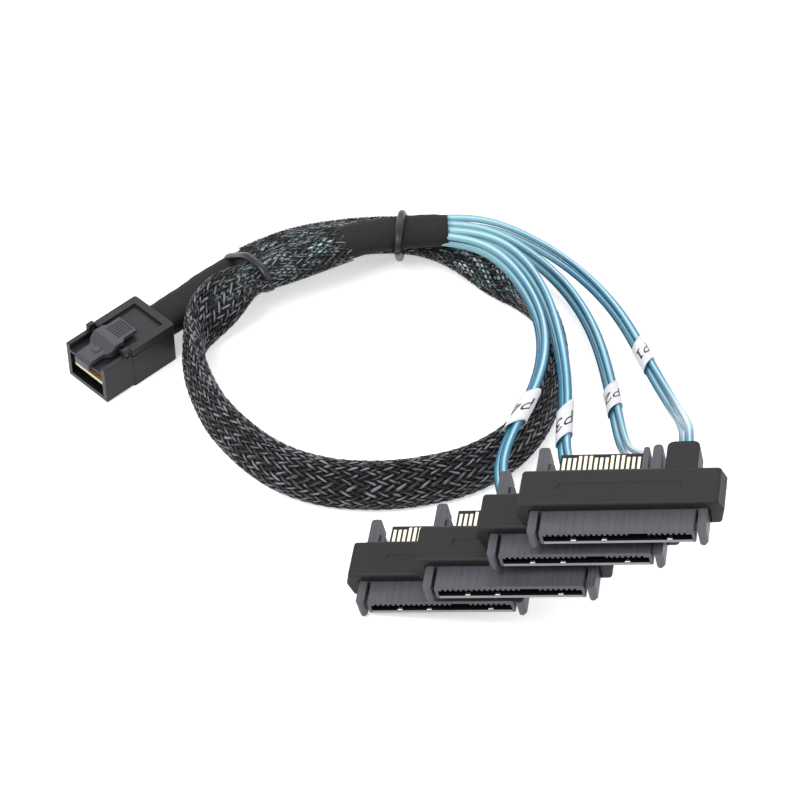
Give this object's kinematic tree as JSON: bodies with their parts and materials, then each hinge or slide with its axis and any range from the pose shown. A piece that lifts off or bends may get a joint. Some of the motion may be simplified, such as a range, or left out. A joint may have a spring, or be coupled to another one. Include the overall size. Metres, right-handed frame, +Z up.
{
  "type": "mini_sas_breakout_cable",
  "caption": "Data breakout cable lying coiled: square host plug with press latch, flat braided sleeve, light blue twin leads with white markers, and stacked drive connectors with power tongues.",
  "frame": {"origin": "the middle of the host plug's flat underside, on the table", "axes": "+Z up from the table; +X runs across the coil from the host plug towards the drive connectors; +Y points away from the drive connectors, to the side of the coil with the ties"},
  "size_m": [0.1612, 0.1543, 0.051],
  "materials": {
    "plug_black": "fine satin moulding",
    "latch_grey": "satin, slightly lighter than the plug",
    "steel": "plain drawn pin",
    "card": "circuit board with cream edge and gilt pads",
    "cloth_tape": "black woven cloth tape",
    "braid": "shiny black expandable braid, blue leads showing through",
    "band_rubber": "smooth, semi-gloss",
    "twinax": "light blue clear jacket over foil",
    "marker_white": "white shrink tube with plain black position lettering",
    "moulding": "fine grained over-moulding",
    "mating_grey": "filled dark grey plastic with pale gold blades on the tongue",
    "slot_insert": "black"
  },
  "bodies": {
    "cable": {"breakout_tape": "cloth_tape", "connector_1_contact_carrier": "slot_insert", "connector_1_mating_body": "mating_grey", "connector_1_power_port": "mating_grey", "connector_1_shell": "moulding", "connector_2_contact_carrier": "slot_insert", "connector_2_mating_body": "mating_grey", "connector_2_power_port": "mating_grey", "connector_2_shell": "moulding", "connector_3_contact_carrier": "slot_insert", "connector_3_mating_body": "mating_grey", "connector_3_power_port": "mating_grey", "connector_3_shell": "moulding", "connector_4_contact_carrier": "slot_insert", "connector_4_mating_body": "mating_grey", "connector_4_power_port": "mating_grey", "connector_4_shell": "moulding", "edge_card_lower": "card", "edge_card_upper": "card", "latch_pin": "steel", "lead_1_lower": "twinax", "lead_1_upper": "twinax", "lead_2_lower": "twinax", "lead_2_upper": "twinax", "lead_3_lower": "twinax", "lead_3_upper": "twinax", "lead_4_lower": "twinax", "lead_4_upper": "twinax", "marker_1": "marker_white", "marker_2": "marker_white", "marker_3": "marker_white", "marker_4": "marker_white", "neck_tape": "cloth_tape", "plug_cover": "plug_black", "plug_housing": "plug_black", "sleeve_first_pass": "braid", "sleeve_loop": "braid", "sleeve_return": "braid", "tie_left": "band_rubber", "tie_right": "band_rubber"},
    "latch": {"plug_latch": "latch_grey"}
  },
  "joints": [
    {"name": "latch_press", "type": "hinge", "parent": "cable", "child": "latch", "pos_m": [-0.00283, -0.00283, 0.0117], "axis": [-0.7071, 0.7071, 0], "range_deg": [0, 6], "stiffness_Nm_per_rad": 0.1}
  ]
}
